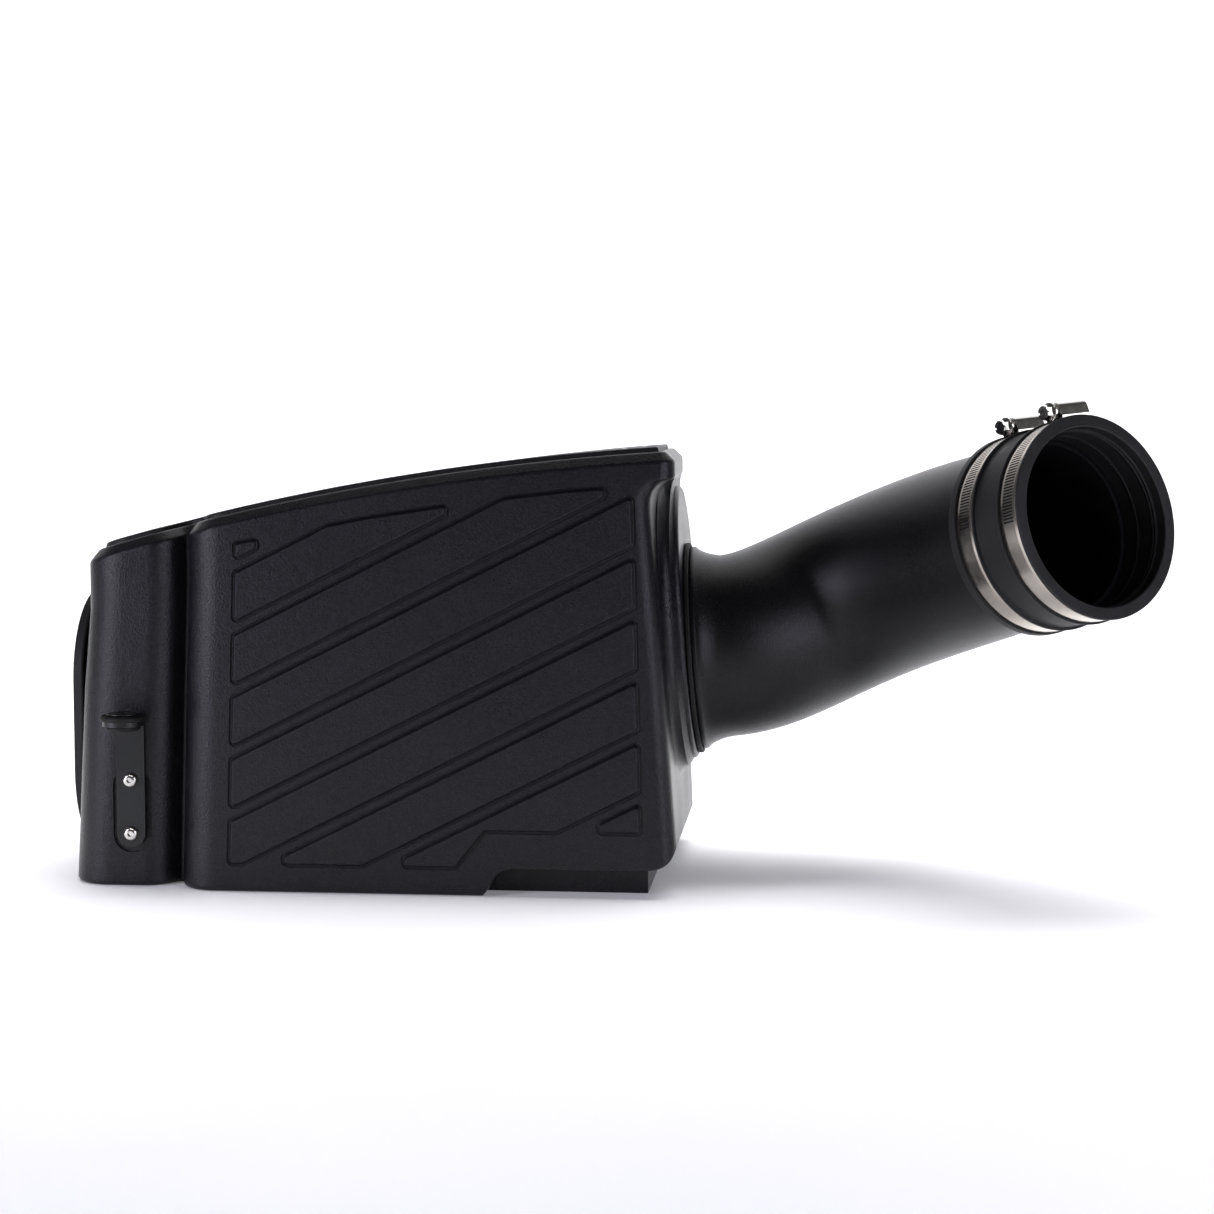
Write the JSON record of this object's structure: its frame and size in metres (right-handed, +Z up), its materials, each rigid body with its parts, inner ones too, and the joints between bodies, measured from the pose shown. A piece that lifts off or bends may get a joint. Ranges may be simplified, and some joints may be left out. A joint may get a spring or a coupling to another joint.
{
  "type": "closed-box cold-air intake",
  "caption": "Closed airbox with a bolted arched lid and a conical filter inside, an S-bent intake tube and a rubber coupler with worm-drive hose clamps.",
  "frame": {"origin": "centre of the airbox's flat underside", "axes": "+X from the box to the tube's outlet, -Y towards the patterned front face, +Z up"},
  "size_m": [0.6744, 0.2791, 0.2976],
  "materials": {
    "box_plastic": "moulded grain, satin",
    "lid_plastic": "moulded grain",
    "tube_plastic": "fine grain, satin",
    "seal_rubber": "matte",
    "coupler_rubber": "matte",
    "dark_steel": "semi-gloss black coating",
    "stainless": "bright rolled strip",
    "bright_screw": "bright zinc",
    "brass": "turned",
    "filter_cloth": "oiled cotton",
    "urethane": "moulded",
    "wire": "perforated sheet"
  },
  "bodies": {
    "airbox": {"box_body": "box_plastic", "lid_insert_1": "brass", "lid_insert_2": "brass", "lid_insert_3": "brass", "lid_insert_4": "brass", "lid_insert_5": "brass", "lid_insert_6": "brass", "lid_insert_7": "brass", "lid_insert_8": "brass", "bracket": "dark_steel", "bracket_screw_1": "bright_screw", "bracket_screw_2": "bright_screw", "bracket_insert_1": "brass", "bracket_insert_2": "brass", "bracket_grommet": "seal_rubber", "grommet_sleeve": "stainless", "inlet_seal": "seal_rubber", "port_seal": "seal_rubber", "intake_tube": "tube_plastic", "coupler": "coupler_rubber", "clamp_1_band": "stainless", "clamp_1_housing": "stainless", "clamp_2_band": "stainless", "clamp_2_housing": "stainless"},
    "lid": {"box_lid": "lid_plastic", "lid_gasket": "seal_rubber", "lid_screw_1": "bright_screw", "lid_screw_2": "bright_screw", "lid_screw_3": "bright_screw", "lid_screw_4": "bright_screw", "lid_screw_5": "bright_screw", "lid_screw_6": "bright_screw", "lid_screw_7": "bright_screw", "lid_screw_8": "bright_screw"},
    "filter": {"filter_flange": "urethane", "filter_media": "filter_cloth", "filter_core": "wire", "filter_end_cap": "urethane", "filter_clamp_band": "stainless", "filter_clamp_housing": "stainless"},
    "clamp_1_worm": {"clamp_1_screw": "bright_screw"},
    "clamp_2_worm": {"clamp_2_screw": "bright_screw"},
    "filter_clamp_worm": {"filter_clamp_screw": "bright_screw"}
  },
  "joints": [
    {"name": "lid_lift", "type": "slide", "parent": "airbox", "child": "lid", "axis": [0, 0, 1], "range_m": [0, 0.06]},
    {"name": "filter_pull", "type": "slide", "parent": "airbox", "child": "filter", "axis": [-0.9973, 0, -0.0732], "range_m": [0, 0.045]},
    {"name": "clamp_1_screw_turn", "type": "hinge", "parent": "airbox", "child": "clamp_1_worm", "pos_m": [0.37649, -0.08665, 0.28269], "axis": [-0.7788, -0.6224, -0.0779], "continuous": true},
    {"name": "clamp_2_screw_turn", "type": "hinge", "parent": "airbox", "child": "clamp_2_worm", "pos_m": [0.39908, -0.11598, 0.29124], "axis": [-0.7788, -0.6224, -0.0779], "continuous": true},
    {"name": "filter_clamp_screw_turn", "type": "hinge", "parent": "filter", "child": "filter_clamp_worm", "pos_m": [0.14683, -0.01, 0.20864], "axis": [0, -1, 0], "continuous": true}
  ]
}
